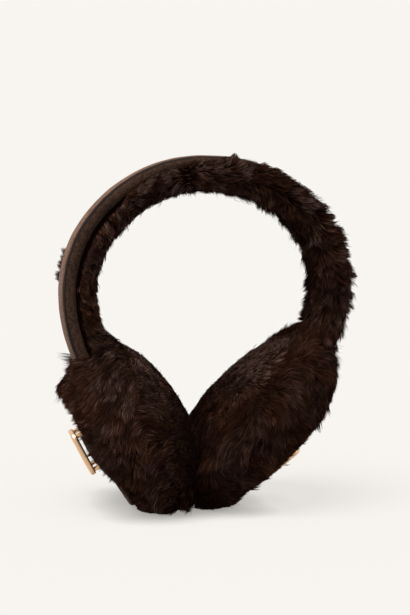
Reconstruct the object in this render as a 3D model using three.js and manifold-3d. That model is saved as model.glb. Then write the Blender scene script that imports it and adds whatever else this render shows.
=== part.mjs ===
// Fur earmuffs, standing on the rims of their two ear pads.
// Millimetres, +Z up, +Y to the back. The arch of the band lies in a plane along X. The two pads
// are soft and stand a little unevenly, so each has its own place and tilt.

import * as THREE from 'three';
import { mergeVertices } from 'three/addons/utils/BufferGeometryUtils.js';
import Module from 'manifold-3d';

// ---------- Driving dimensions ----------

const GAP = 0.3; // clearance between neighbouring pieces

// The arch: a circle about (x, z) whose two ends pull in towards the pads, leaning towards +X.
// Its angles run in degrees from the top, + to +X.
const ARCH = { x: -1.7, z: 95.5, lean: 1, radius: 72.5, pullFrom: 60, end: 121 };
const PULL_IN = { left: 4.3, right: 8 };
const BAND_STEPS = 32;

// The padded cover of the band. dr is measured outwards from the arch's outer face, y across it.
// The groove rows are the floor that the outer strip lies on.
const COVER_SECTION = [
  { dr: -8.0, y: -10.2 }, { dr: -7.4, y: -12.1 }, { dr: -5.4, y: -13 }, { dr: -3.2, y: -12.9 },
  { dr: -1.8, y: -12.2 }, { dr: -1.6, y: -11.5 }, { dr: -3.1, y: -11.1, groove: true },
  { dr: -3.1, y: 11.1, groove: true }, { dr: -1.6, y: 11.5 }, { dr: -1.8, y: 12.2 },
  { dr: -3.2, y: 12.9 }, { dr: -5.4, y: 13 }, { dr: -7.4, y: 12.1 }, { dr: -8.0, y: 10.2 },
];

// The crowned strip of fabric that closes the outer face, seamed inside the cover's two lips.
const PANEL_SECTION = [
  { dr: -2.8, y: -10.8 }, { dr: -1.4, y: -11.1 }, { dr: -0.4, y: -7 }, { dr: 0, y: 0 },
  { dr: -0.4, y: 7 }, { dr: -1.4, y: 11.1 }, { dr: -2.8, y: 10.8 },
];

// The fur under the band, as it is tucked inside the cover and as it spills over the front side.
const PILE_SECTION = [
  { tucked: [-8.3, 10], spilled: [-8.3, 10] },
  { tucked: [-9.1, 12.8], spilled: [-9.1, 12.8] },
  { tucked: [-11.2, 14.2], spilled: [-11.2, 14.2] },
  { tucked: [-13.8, 12.8], spilled: [-13.8, 12.8] },
  { tucked: [-15.2, 7.8], spilled: [-15.2, 7.8] },
  { tucked: [-15.6, 0], spilled: [-15.6, 0] },
  { tucked: [-15.2, -7.8], spilled: [-15.2, -7.8] },
  { tucked: [-13.8, -12.8], spilled: [-13.8, -13.6] },
  { tucked: [-11.2, -14.2], spilled: [-9, -16] },
  { tucked: [-9.9, -13.8], spilled: [-4.4, -15.8] },
  { tucked: [-9.3, -13.2], spilled: [-1.9, -14.6] },
  { tucked: [-9, -12.5], spilled: [-2.6, -13.5] },
  { tucked: [-8.8, -11.8], spilled: [-5.2, -13.6] },
  { tucked: [-8.6, -11.2], spilled: [-7.6, -12.6] },
  { tucked: [-8.3, -10], spilled: [-8.3, -10] },
];
const SPILL = [
  { angle: -180, share: 0 }, { angle: -45, share: 0 }, { angle: -20, share: 0.35 },
  { angle: 0, share: 0.7 }, { angle: 20, share: 0.9 }, { angle: 40, share: 1 },
  { angle: 180, share: 1 },
];

// An ear pad: a thick fur puck on the axis z, which points from its back to the ear.
// Each pad's centre is at (x, z), and tilt is the angle from the vertical to its axis. face is the
// share left of its ear side's height, sag and rise stretch its lower and upper rim by a share of
// the radius, and belly is how far the lower rim bulges to the back. low and out are where the
// ornament's middle is, towards the lower rim and further off the back.
const PADS = [
  {
    name: 'left', side: -1, x: -38.4, z: 36.8, tilt: 58.5,
    face: 1.03, sag: 0.05, rise: -0.05, belly: -1.5, low: -3.5, out: 0,
  },
  {
    name: 'right', side: 1, x: 19.7, z: 43.8, tilt: -46.2,
    face: 0.77, sag: 0.27, rise: 0.05, belly: 2.2, low: 8, out: 2,
  },
];
const PAD_PROFILE = [
  { r: 0, z: -13 }, { r: 31.9, z: -13 }, { r: 31.9, z: -18 }, { r: 35.8, z: -20 },
  { r: 40.5, z: -18.4 }, { r: 44, z: -13 }, { r: 46, z: -5 }, { r: 45.6, z: 4 },
  { r: 42.3, z: 11.5 }, { r: 36, z: 17 }, { r: 26, z: 21.2 }, { r: 13, z: 23.6 }, { r: 0, z: 24.2 },
];
const PAD_RADIUS = Math.max(...PAD_PROFILE.map(({ r }) => r));
const PAD_SEGMENTS = 24;
// The pads press against each other on an upright plane through (x, 0), turned about Z.
const CONTACT = { x: -8.6, turn: 8 };
const PAD_SHELL_FROM = 3; // first row of the profile that carries fur
const PIPING = { ring: 29.4, section: 2.1, z: -18.5, sides: 6 };
const BACK = { radius: 27, edge: 3.4, dome: 7.2, seat: -13.3 };

// The ornament on each back: a plain open frame of flat bar on four short posts.
const FRAME = { length: 22.5, width: 19, bar: 3.4, thick: 2.4, corner: 4, standOff: 1.4, post: 1.1 };

// Locks of fur: tapered leaves fused to the pile, all sizes along, across and above it.
const PAD_LOCKS = { count: 70, length: 15, width: 11, lift: 2.2, sink: 2.4, droop: 5.2, swirl: 50 };
const PAD_LOCKS_FROM = -9; // no lock is rooted further back, so none hangs over the hollow
const STANDING = 11; // and none lower than this, where the pads are pressed flat
const BAND_LOCKS = {
  step: 14, from: 104, parting: -12, length: 14, width: 9.5, lift: 1.4, sink: 2.4, droop: 0.4, veer: 0.5,
};
const BAND_LOCK_ROWS = [
  { y: -11.7, dr: -14, back: -0.6 }, { y: 0, dr: -15.4, back: 0 }, { y: 11.7, dr: -14, back: 0.6 },
];
// Runs of tufts that stick out past the cover's edges. side is -1 at the front, 1 at the back.
const TUFTS = { width: 7, lift: 1.2, sink: 2.6, droop: 0.4 };
const TUFT_RUNS = [
  { from: -72, to: -60, step: 6, side: 1, length: 10, dr: -9.6, y: 13.9 },
  { from: 36, to: 104, step: 8.4, side: -1, length: 7.5, dr: -8.4, y: -15.5 },
];

const FUR = { color: 0x2a1b16, roughness: 0.95, metalness: 0 };
const SUEDE = { color: 0x4a3529, roughness: 0.9, metalness: 0 };
const SHELL = { color: 0x120d0c, roughness: 0.6, metalness: 0 };
const GOLD = { color: 0xd9a877, roughness: 0.3, metalness: 1 };

// ---------- Small helpers ----------

const wasm = await Module();
wasm.setup();

const radians = THREE.MathUtils.degToRad;
const GOLDEN_ANGLE = Math.PI * (3 - Math.sqrt(5));

// A closed geometry as a manifold solid, without the empty triangles at a lathe's poles.
function toSolid(geometry) {
  const bare = new THREE.BufferGeometry();
  bare.setAttribute('position', geometry.getAttribute('position'));
  bare.setIndex(geometry.getIndex());
  const merged = mergeVertices(bare, 1e-4);
  const index = merged.getIndex().array;
  const kept = [];
  for (let i = 0; i < index.length; i += 3) {
    const [a, b, c] = [index[i], index[i + 1], index[i + 2]];
    if (a !== b && b !== c && c !== a) kept.push(a, b, c);
  }
  return new wasm.Manifold(new wasm.Mesh({
    numProp: 3,
    vertProperties: new Float32Array(merged.getAttribute('position').array),
    triVerts: new Uint32Array(kept),
  }));
}

function toGeometry(solid) {
  const mesh = solid.simplify(0.02).getMesh();
  const geometry = new THREE.BufferGeometry();
  geometry.setAttribute('position', new THREE.BufferAttribute(mesh.vertProperties, 3));
  geometry.setIndex(new THREE.BufferAttribute(mesh.triVerts, 1));
  return geometry;
}

// The largest closed body of a solid, so that a crumb left by a cut is dropped.
function mainBody(solid) {
  return solid.decompose().sort((a, b) => b.volume() - a.volume())[0];
}

function named(name, geometry, look) {
  const mesh = new THREE.Mesh(geometry, new THREE.MeshStandardMaterial(look));
  mesh.name = name;
  return mesh;
}

// Straight interpolation in a table of { angle, share } rows.
function shareAt(table, angle) {
  const next = table.findIndex((row) => row.angle >= angle);
  const [low, high] = [table[next - 1], table[next]];
  return THREE.MathUtils.mapLinear(angle, low.angle, high.angle, low.share, high.share);
}

// Triangles that close an outline, wound the way the outline runs.
function closing(outline) {
  const forwards = THREE.ShapeUtils.area(outline) > 0;
  return THREE.ShapeUtils.triangulateShape([...outline], []).map(([a, b, c]) => {
    const same = (THREE.ShapeUtils.area([outline[a], outline[b], outline[c]]) > 0) === forwards;
    return same ? [a, b, c] : [a, c, b];
  });
}

// A body through closed rings of equal length, closed at both ends. The outlines are the first and
// the last ring as lists of Vector2.
function loft(rings, firstOutline, lastOutline) {
  const count = rings[0].length;
  const index = [];
  for (let i = 0; i + 1 < rings.length; i++) {
    for (let j = 0; j < count; j++) {
      const a = i * count + j;
      const b = i * count + (j + 1) % count;
      index.push(a, b, b + count, a, b + count, a + count);
    }
  }
  for (const [a, b, c] of closing(firstOutline)) index.push(a, c, b);
  const start = (rings.length - 1) * count;
  for (const [a, b, c] of closing(lastOutline)) index.push(start + a, start + b, start + c);
  const geometry = new THREE.BufferGeometry();
  const positions = rings.flat().flatMap((p) => [p.x, p.y, p.z]);
  geometry.setAttribute('position', new THREE.Float32BufferAttribute(positions, 3));
  geometry.setIndex(index);
  return geometry;
}

// ---------- The band ----------

// The arch's outer radius at an angle: constant over the top, less towards the two ends.
function archRadius(angle) {
  const pull = THREE.MathUtils.smoothstep(Math.abs(angle), ARCH.pullFrom, ARCH.end);
  return ARCH.radius - pull * (angle < 0 ? PULL_IN.left : PULL_IN.right);
}

function archPoint(angle, dr, y) {
  const r = archRadius(angle) + dr;
  const a = radians(angle);
  return new THREE.Vector3(r * Math.sin(a), y, r * Math.cos(a));
}

// A section carried along the arch. sectionAt gives its [dr, y] points at an angle.
function alongArch(sectionAt) {
  const rings = [];
  for (let i = 0; i <= BAND_STEPS; i++) {
    const angle = THREE.MathUtils.lerp(-ARCH.end, ARCH.end, i / BAND_STEPS);
    rings.push(sectionAt(angle).map(([dr, y]) => archPoint(angle, dr, y)));
  }
  const outline = (angle) => sectionAt(angle).map(([dr, y]) => new THREE.Vector2(dr, y));
  return loft(rings, outline(-ARCH.end), outline(ARCH.end));
}

function pileSection(angle) {
  const share = shareAt(SPILL, angle);
  return PILE_SECTION.map(({ tucked, spilled }) => [
    THREE.MathUtils.lerp(tucked[0], spilled[0], share),
    THREE.MathUtils.lerp(tucked[1], spilled[1], share),
  ]).reverse();
}

// The cover's outer form, larger by the gap all round, for keeping fur out of it.
function coverKeepOut() {
  const dr = COVER_SECTION.map((row) => row.dr);
  const middle = (Math.max(...dr) + Math.min(...dr)) / 2;
  const section = COVER_SECTION.filter((row) => !row.groove)
    .map((row) => [row.dr + Math.sign(row.dr - middle) * GAP, row.y + Math.sign(row.y) * GAP])
    .reverse();
  return toSolid(alongArch(() => section));
}

// ---------- Locks of fur ----------

// A repeatable number from 0 to 1 for lock number i.
function chance(i, salt) {
  const x = Math.sin(i * 12.9898 + salt * 78.233) * 43758.5453;
  return x - Math.floor(x);
}

// One lock: a tapered leaf of four sides, rooted under the pile at root, swelling above it
// halfway along and drooping to a point. along and out are unit vectors, out off the pile.
function lock(root, along, out, { length, width, lift, sink, droop }) {
  const side = new THREE.Vector3().crossVectors(along, out).normalize();
  const at = (t, across, up) => root.clone()
    .addScaledVector(along, t * length)
    .addScaledVector(side, across * width)
    .addScaledVector(out, up);
  const ring = (t, half, low, high) => {
    const edge = (low + high) / 2 - 0.6;
    return [at(t, -half, edge), at(t, 0, low), at(t, half, edge), at(t, 0, high)];
  };
  const points = [
    ...ring(0, 0.3, -sink - 0.6, -sink + 0.8),
    ...ring(0.5, 0.5, -sink, lift),
    at(1, 0, lift * 0.55 - droop),
  ];
  const index = [0, 2, 3, 0, 1, 2];
  for (let j = 0; j < 4; j++) {
    const k = (j + 1) % 4;
    index.push(j, k + 4, k, j, j + 4, k + 4, j + 4, 8, k + 4);
  }
  const geometry = new THREE.BufferGeometry();
  geometry.setAttribute('position',
    new THREE.Float32BufferAttribute(points.flatMap((p) => [p.x, p.y, p.z]), 3));
  geometry.setIndex(index);
  return toSolid(geometry);
}

// Locks in staggered rows under the band, streaming down both sides of the arch from a parting.
function bandLocks() {
  const locks = [];
  BAND_LOCK_ROWS.forEach((row, n) => {
    const shift = (n % 2) * BAND_LOCKS.step / 2;
    for (let angle = -BAND_LOCKS.from + shift; angle <= BAND_LOCKS.from; angle += BAND_LOCKS.step) {
      const i = locks.length;
      const a = radians(angle);
      const inwards = new THREE.Vector3(-Math.sin(a), 0, -Math.cos(a));
      const down = new THREE.Vector3(Math.cos(a), 0, -Math.sin(a))
        .multiplyScalar(Math.sign(angle - BAND_LOCKS.parting));
      const out = inwards.setY(row.back).normalize();
      const veer = row.back * 0.3 + (chance(i, 3) - 0.5) * BAND_LOCKS.veer;
      const along = down.setY(veer).normalize();
      out.addScaledVector(along, -out.dot(along)).normalize();
      const size = 0.8 + 0.4 * chance(i, 5);
      locks.push(lock(archPoint(angle, row.dr, row.y), along, out, {
        length: BAND_LOCKS.length * size,
        width: BAND_LOCKS.width * size,
        lift: BAND_LOCKS.lift * size,
        sink: BAND_LOCKS.sink,
        droop: BAND_LOCKS.droop,
      }));
    }
  });
  return locks;
}

function tufts() {
  return TUFT_RUNS.flatMap((run) => {
    const made = [];
    for (let angle = run.from; angle <= run.to; angle += run.step) {
      const i = made.length;
      const a = radians(angle);
      const lean = 0.35 + 0.5 * chance(i, 7);
      const along = new THREE.Vector3(Math.sin(a), 0, Math.cos(a))
        .addScaledVector(new THREE.Vector3(Math.cos(a), 0, -Math.sin(a)), lean * Math.sign(angle))
        .normalize();
      const size = 0.8 + 0.4 * chance(i, 9);
      made.push(lock(archPoint(angle, run.dr, run.y), along, new THREE.Vector3(0, run.side, 0), {
        ...TUFTS, length: run.length * size,
      }));
    }
    return made;
  });
}

// ---------- The ear pads ----------

function revolve(profile, segments) {
  const points = profile.map(({ r, z }) => new THREE.Vector2(r, z));
  return new THREE.LatheGeometry(points, segments).rotateX(Math.PI / 2);
}

// Moves a point of a pad to where it lies once the face is pressed and the rim is stretched.
function settle(point, { side, face, sag, rise, belly }) {
  const hollow = PAD_PROFILE[1].r;
  const rim = THREE.MathUtils.smoothstep(Math.hypot(point.x, point.y), hollow, PAD_RADIUS);
  const down = -side * point.x / PAD_RADIUS * rim;
  point.x *= 1 + (down > 0 ? sag * down : -rise * down);
  if (point.z > 0) point.z *= face;
  else point.z -= belly * Math.max(down, 0);
  return point;
}

// The pad's fur from a profile, sagged.
function padBody(profile, pad) {
  const geometry = revolve(profile, PAD_SEGMENTS);
  const position = geometry.getAttribute('position');
  for (let i = 0; i < position.count; i++) {
    const point = settle(new THREE.Vector3().fromBufferAttribute(position, i), pad);
    position.setXYZ(i, point.x, point.y, point.z);
  }
  return geometry;
}

// The pad's fur without its hollow back, a little larger than the fur by the gap.
function padEnvelope(pad) {
  const shell = PAD_PROFILE.slice(PAD_SHELL_FROM);
  const grow = 1 + 2 * GAP / shell[0].r;
  return padBody([{ r: 0, z: shell[0].z }, ...shell], pad).scale(grow, grow, grow);
}

// Places and directions of the locks, spread evenly over the furred part of the profile. The pile
// streams from the ear face round the rim to the back, with a slow swirl.
function padLocks(pad, blocked) {
  const seed = pad.side;
  const shell = PAD_PROFILE.slice(PAD_SHELL_FROM);
  const steps = [];
  let area = 0;
  for (let i = 0; i + 1 < shell.length; i++) {
    const length = Math.hypot(shell[i + 1].r - shell[i].r, shell[i + 1].z - shell[i].z);
    const start = area;
    area += length * (shell[i].r + shell[i + 1].r) / 2;
    steps.push({ from: shell[i], to: shell[i + 1], start, end: area });
  }
  const locks = [];
  for (let i = 0; i < PAD_LOCKS.count; i++) {
    const share = (i + 0.5) / PAD_LOCKS.count * area;
    const step = steps.find(({ end }) => end >= share);
    const t = (share - step.start) / (step.end - step.start);
    const r = THREE.MathUtils.lerp(step.from.r, step.to.r, t);
    const z = THREE.MathUtils.lerp(step.from.z, step.to.z, t);
    const turn = i * GOLDEN_ANGLE + seed;
    const spoke = new THREE.Vector3(Math.cos(turn), Math.sin(turn), 0);
    const root = spoke.clone().multiplyScalar(r).setZ(z);
    const down = spoke.clone().multiplyScalar(step.from.r - step.to.r)
      .setZ(step.from.z - step.to.z).normalize();
    const round = new THREE.Vector3(-Math.sin(turn), Math.cos(turn), 0);
    const out = new THREE.Vector3().crossVectors(down, round).normalize();
    if (out.dot(root) < 0) out.negate();
    const swirl = radians(PAD_LOCKS.swirl) * Math.sin(2 * turn + z / 9 + seed);
    const along = down.multiplyScalar(Math.cos(swirl)).addScaledVector(round, Math.sin(swirl));
    const size = 0.75 + 0.5 * chance(i, seed);
    const rim = THREE.MathUtils.smoothstep(20 - z, 0, 12);
    if (z < PAD_LOCKS_FROM || blocked(root)) continue;
    locks.push(lock(settle(root, pad), along, out, {
      length: PAD_LOCKS.length * size,
      width: PAD_LOCKS.width * size,
      lift: PAD_LOCKS.lift * size * (0.35 + 0.65 * rim),
      sink: PAD_LOCKS.sink,
      droop: PAD_LOCKS.droop * size * size * (0.3 + 0.7 * rim),
    }));
  }
  return locks;
}

// A block that fills everything past a plane of the part's own frame, seen from inside `inverse`.
function pastPlane(point, normal, inverse) {
  const size = 400;
  const block = new THREE.BoxGeometry(size, size, size).translate(0, 0, size / 2);
  const turn = new THREE.Quaternion().setFromUnitVectors(new THREE.Vector3(0, 0, 1), normal);
  block.applyMatrix4(new THREE.Matrix4().makeRotationFromQuaternion(turn).setPosition(point));
  return toSolid(block.applyMatrix4(inverse));
}

// ---------- The ornament ----------

function roundedRectangle(path, width, length, corner) {
  const [x, y] = [width / 2, length / 2];
  path.moveTo(x, -y + corner);
  path.lineTo(x, y - corner);
  path.absarc(x - corner, y - corner, corner, 0, Math.PI / 2);
  path.lineTo(-x + corner, y);
  path.absarc(-x + corner, y - corner, corner, Math.PI / 2, Math.PI);
  path.lineTo(-x, -y + corner);
  path.absarc(-x + corner, -y + corner, corner, Math.PI, 1.5 * Math.PI);
  path.lineTo(x - corner, -y);
  path.absarc(x - corner, -y + corner, corner, 1.5 * Math.PI, 2 * Math.PI);
  return path;
}

// The domed back's height over its edge at a radius.
function domeHeight(r) {
  return BACK.dome * (1 - (r / BACK.radius) ** 2);
}

// Flat bar bent to a frame on four posts down to the dome. Its long side runs along the pad's x,
// its face looks away from the ear, and it is square to the dome under its middle.
function ornament({ side, low, out }) {
  const outline = roundedRectangle(new THREE.Shape(), FRAME.length, FRAME.width, FRAME.corner);
  outline.holes.push(roundedRectangle(new THREE.Path(), FRAME.length - 2 * FRAME.bar,
    FRAME.width - 2 * FRAME.bar, FRAME.corner / 3));
  const bevel = 0.4;
  const bar = new THREE.ExtrudeGeometry(outline, {
    depth: FRAME.thick - 2 * bevel, bevelEnabled: true, bevelThickness: bevel, bevelSize: bevel,
    bevelOffset: -bevel, bevelSegments: 1, curveSegments: 2,
  }).translate(0, 0, bevel - FRAME.thick);
  const middle = -side * low;
  const slope = Math.atan2(2 * BACK.dome * middle, BACK.radius ** 2);
  const level = (r) => BACK.seat - BACK.edge - domeHeight(r);
  const place = new THREE.Matrix4().makeRotationY(-slope)
    .setPosition(middle, 0, level(middle) - FRAME.standOff - out);
  let solid = toSolid(bar.applyMatrix4(place));
  const x = FRAME.length / 2 - FRAME.bar / 2 - 0.6;
  const y = FRAME.width / 2 - FRAME.bar / 2 - 0.6;
  for (const [sx, sy] of [[1, 1], [1, -1], [-1, 1], [-1, -1]]) {
    const top = new THREE.Vector3(sx * x, sy * y, -FRAME.thick / 2).applyMatrix4(place);
    const height = level(Math.hypot(top.x, top.y) - FRAME.post) - GAP - top.z;
    const post = new THREE.CylinderGeometry(FRAME.post, FRAME.post, height, 5);
    post.rotateX(Math.PI / 2).translate(top.x, top.y, top.z + height / 2);
    solid = solid.add(toSolid(post));
  }
  return toGeometry(solid);
}

// ---------- Assembly ----------

const earmuffs = new THREE.Group();
const band = new THREE.Group();
band.position.set(ARCH.x, 0, ARCH.z);
band.rotation.y = radians(ARCH.lean);
band.updateMatrix();
earmuffs.add(band);
const intoBand = band.matrix.clone().invert();

const edge = BACK.seat - BACK.edge;
const backProfile = [1, 0.86, 0.66, 0.42, 0.2, 0].map((share) => {
  const r = BACK.radius * share;
  return { r, z: edge - domeHeight(r) };
}).reverse().concat([{ r: BACK.radius - 1, z: BACK.seat }, { r: 0, z: BACK.seat }]);

const cordProfile = [];
for (let i = 0; i <= PIPING.sides; i++) {
  const a = i / PIPING.sides * 2 * Math.PI;
  cordProfile.push({
    r: PIPING.ring + PIPING.section * Math.cos(a),
    z: PIPING.z + PIPING.section * Math.sin(a),
  });
}

// The hollow behind the fur, run out past the back so that no lock crosses it.
const [floorOfHollow, rimOfHollow] = PAD_PROFILE;
const hollowProfile = [
  { r: 0, z: -60 }, { r: rimOfHollow.r, z: -60 }, rimOfHollow, floorOfHollow,
];

const envelopes = [];
for (const place of PADS) {
  const { name, side, x, z, tilt } = place;
  const pad = new THREE.Group();
  pad.position.set(x, 0, z);
  pad.rotation.y = radians(tilt);
  pad.updateMatrix();
  earmuffs.add(pad);
  const inverse = pad.matrix.clone().invert();
  envelopes.push(toSolid(padEnvelope(place).applyMatrix4(intoBand.clone().multiply(pad.matrix))));

  // No lock grows where the end of the band is seated, or where the pad stands.
  const blocked = (root) => {
    const p = root.clone().applyMatrix4(pad.matrix);
    return p.z < STANDING || (p.z > z + 20 && side * (p.x - x) > 8 && Math.abs(p.y) < 25);
  };
  const turn = radians(CONTACT.turn);
  const across = new THREE.Vector3(-side * Math.cos(turn), side * Math.sin(turn), 0);
  const middle = new THREE.Vector3(CONTACT.x, 0, 0).addScaledVector(across, -GAP / 2);
  const core = toSolid(padBody(PAD_PROFILE, place));
  const fur = wasm.Manifold.union([core, ...padLocks(place, blocked)])
    .subtract(toSolid(revolve(hollowProfile, PAD_SEGMENTS)))
    .subtract(pastPlane(new THREE.Vector3(), new THREE.Vector3(0, 0, -1), inverse))
    .subtract(pastPlane(middle, across, inverse));
  pad.add(
    named(`${name}_pad_fur`, toGeometry(mainBody(fur)), FUR),
    named(`${name}_pad_piping`, revolve(cordProfile, 26), SUEDE),
    named(`${name}_pad_back`, revolve(backProfile, 24), SHELL),
    named(`${name}_emblem`, ornament(place), GOLD),
  );
}

// The band's ends are cut where they are seated on the pads.
const pads = wasm.Manifold.union(envelopes);
const swept = (section) => toSolid(alongArch(() => section.map(({ dr, y }) => [dr, y]).reverse()));
const pile = wasm.Manifold.union([toSolid(alongArch(pileSection)), ...bandLocks(), ...tufts()])
  .subtract(coverKeepOut());
const seated = (solid) => toGeometry(mainBody(solid.subtract(pads)));
band.add(
  named('band_cover', seated(swept(COVER_SECTION)), SUEDE),
  named('band_outer_strip', seated(swept(PANEL_SECTION)), SUEDE),
  named('band_fur', seated(pile), FUR),
);

// The part's origin is on the floor, under the middle of its box.
const box = new THREE.Box3().setFromObject(earmuffs, true);
const centre = box.getCenter(new THREE.Vector3());
earmuffs.position.set(-centre.x, -centre.y, 0);

export default earmuffs;
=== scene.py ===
"""Brown earmuffs: a fabric-covered band lined with long fur and two fur ear pads, standing on the
rims of the pads. Sizes are in millimetres until a mesh is made. +Z is up and +Y is the back."""
import math

import bpy
import numpy as np
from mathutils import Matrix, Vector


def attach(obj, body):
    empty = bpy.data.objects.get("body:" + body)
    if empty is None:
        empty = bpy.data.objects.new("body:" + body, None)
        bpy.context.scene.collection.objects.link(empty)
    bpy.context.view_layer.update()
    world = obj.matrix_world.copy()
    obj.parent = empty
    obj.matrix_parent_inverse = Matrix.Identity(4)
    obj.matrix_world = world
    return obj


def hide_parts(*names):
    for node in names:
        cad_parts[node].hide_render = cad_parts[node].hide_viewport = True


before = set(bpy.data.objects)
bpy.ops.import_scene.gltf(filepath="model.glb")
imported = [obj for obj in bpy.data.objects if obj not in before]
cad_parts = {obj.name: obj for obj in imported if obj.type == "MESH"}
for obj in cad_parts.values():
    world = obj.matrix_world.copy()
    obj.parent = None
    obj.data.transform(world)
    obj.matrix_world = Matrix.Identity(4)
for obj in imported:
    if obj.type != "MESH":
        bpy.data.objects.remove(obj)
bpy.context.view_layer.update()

# ---------- Where it stands ----------
# A pale floor that runs into a background of the same tone. Soft daylight comes from all round,
# with a broad lamp high on the left and a weaker one on the right.

MM = 0.001
BACKGROUND = (0.939, 0.913, 0.871)
FLOOR_WHITE = 0.07  # the share of light that the floor throws back; it glows with the rest
FLOOR_HALF, FLOOR_FADE = 9000, (350, 900)  # its half side, and where it fades into the background
CONTACT_REACH, CONTACT_GLOW = 17, 0.45  # the dark under the object, and the glow left in it
LAMPS = {  # azimuth from the front towards +X, height and softness in degrees, and strength
    "left_lamp": (-55, 67, 45, 6.2),
    "right_lamp": (48, 40, 60, 0.35),
}
CAMERA = dict(azimuth=-12, height=2.18, target=(0.97, 0, 94.53), distance=589.4, lens=70.93)


def aimed(azimuth, height):
    """The unit vector from the object towards a lamp or camera."""
    a, e = math.radians(azimuth), math.radians(height)
    return np.array([math.sin(a) * math.cos(e), -math.cos(a) * math.cos(e), math.sin(e)])


def placed(data, location, towards):
    """An object at a place, looking along -towards."""
    thing = bpy.data.objects.new(data.name, data)
    bpy.context.scene.collection.objects.link(thing)
    thing.location = location
    thing.rotation_euler = Vector(towards).to_track_quat("Z", "Y").to_euler()
    return thing


camera_data = bpy.data.cameras.new("camera")
camera_data.lens, camera_data.sensor_width = CAMERA["lens"], 36
camera_from = aimed(CAMERA["azimuth"], CAMERA["height"])
camera_place = (np.array(CAMERA["target"]) + camera_from * CAMERA["distance"]) * MM
bpy.context.scene.camera = placed(camera_data, camera_place, camera_from)

floor_light = np.array(BACKGROUND)
for lamp_name, (azimuth, height, softness, strength) in LAMPS.items():
    lamp = bpy.data.lights.new(lamp_name, "SUN")
    lamp.energy, lamp.angle = strength, math.radians(softness)
    placed(lamp, aimed(azimuth, height), aimed(azimuth, height))
    floor_light = floor_light + strength * math.sin(math.radians(height)) / math.pi

world = bpy.data.worlds.new("daylight")
world.use_nodes = True
world.node_tree.nodes["Background"].inputs["Color"].default_value = (*BACKGROUND, 1)
bpy.context.scene.world = world
bpy.context.scene.view_settings.view_transform = "Standard"


class Shading:
    """The nodes of one material or group."""

    def __init__(self, tree):
        self.tree = tree

    def node(self, kind, settings=None, **inputs):
        made = self.tree.nodes.new("ShaderNode" + kind)
        for name, value in (settings or {}).items():
            setattr(made, name, value)
        self.fill(made, {name.replace("_", " "): value for name, value in inputs.items()})
        return made

    def fill(self, node, values):
        for name, value in values.items():
            self.put(node.inputs[name], value)

    def put(self, socket, value):
        if isinstance(value, bpy.types.NodeSocket):
            self.tree.links.new(value, socket)
        else:
            socket.default_value = (*value, 1) if socket.type == "RGBA" else value

    def math(self, operation, a, b):
        made = self.node("Math", {"operation": operation})
        self.put(made.inputs[0], a)
        self.put(made.inputs[1], b)
        return made.outputs[0]

    def mix(self, share, a, b):
        made = self.node("Mix", {"data_type": "RGBA"})
        self.put(made.inputs["Factor"], share)
        self.put(made.inputs[6], a)
        self.put(made.inputs[7], b)
        return made.outputs[2]

    def noise(self, vector, scale, detail=2.0):
        return self.node("TexNoise", Vector=vector, Scale=scale, Detail=detail).outputs["Fac"]

    def spread(self, value, low, high):
        """A value from low to high, spread over 0 to 1."""
        made = self.node("MapRange", {"interpolation_type": "SMOOTHSTEP"})
        self.fill(made, {"Value": value, "From Min": low, "From Max": high})
        return made.outputs["Result"]


def material(name):
    """A new material with a bare Principled BSDF, and its Shading."""
    made = bpy.data.materials.new(name)
    made.use_nodes = True
    made.node_tree.nodes.clear()
    shading = Shading(made.node_tree)
    surface = shading.node("BsdfPrincipled")
    shading.node("OutputMaterial", Surface=surface.outputs["BSDF"])
    return made, shading, surface


floor_material, shading, surface = material("pale_floor")
near_glow = [c - FLOOR_WHITE * light for c, light in zip(BACKGROUND, floor_light)]
# Painted contact shadow: the floor's glow is darkened where occlusion finds the object close by.
contact = shading.node("AmbientOcclusion", {"samples": 12}, Distance=CONTACT_REACH * MM).outputs["AO"]
near_glow = shading.mix(contact, [CONTACT_GLOW * c for c in near_glow], near_glow)
shading.fill(surface, {"Base Color": [FLOOR_WHITE] * 3, "Roughness": 1.0, "Specular IOR Level": 0.0,
                       "Emission Color": near_glow, "Emission Strength": 1.0})
far_glow = shading.node("Emission", Color=BACKGROUND, Strength=1.0)
distance = shading.node("VectorMath", {"operation": "LENGTH"})
shading.put(distance.inputs[0], shading.node("TexCoord").outputs["Object"])
fade_from, fade_to = (far * MM for far in FLOOR_FADE)
fading = shading.node("MixShader", Fac=shading.spread(distance.outputs["Value"], fade_from, fade_to))
shading.put(fading.inputs[1], surface.outputs["BSDF"])
shading.put(fading.inputs[2], far_glow.outputs["Emission"])
shading.put(shading.tree.nodes["Material Output"].inputs["Surface"], fading.outputs["Shader"])


def finished(name, vertices, faces, finish, **attributes):
    """A mesh object from vertices in millimetres and arrays of faces, one array for each number of
    corners, in one material. Each attribute is a number per vertex."""
    mesh = bpy.data.meshes.new(name)
    mesh.vertices.add(len(vertices))
    mesh.vertices.foreach_set("co", (np.asarray(vertices) * MM).astype(np.float32).ravel())
    corners = np.concatenate([f.ravel() for f in faces]).astype(np.int32)
    sizes = np.concatenate([np.full(len(f), f.shape[1]) for f in faces])
    mesh.loops.add(len(corners))
    mesh.loops.foreach_set("vertex_index", corners)
    mesh.polygons.add(len(sizes))
    mesh.polygons.foreach_set("loop_start", (np.cumsum(sizes) - sizes).astype(np.int32))
    mesh.polygons.foreach_set("use_smooth", np.full(len(sizes), True))
    for key, values in attributes.items():
        made = mesh.attributes.new(key, "FLOAT", "POINT")
        made.data.foreach_set("value", np.asarray(values, np.float32))
    mesh.update(calc_edges=True)
    mesh.validate()
    mesh.materials.append(finish)
    thing = bpy.data.objects.new(name, mesh)
    bpy.context.scene.collection.objects.link(thing)
    return thing


floor_corners = np.array([(-1, -1, 0), (1, -1, 0), (1, 1, 0), (-1, 1, 0)]) * FLOOR_HALF
floor = finished("floor", floor_corners, [np.array([[0, 1, 2, 3]])], floor_material)


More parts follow.
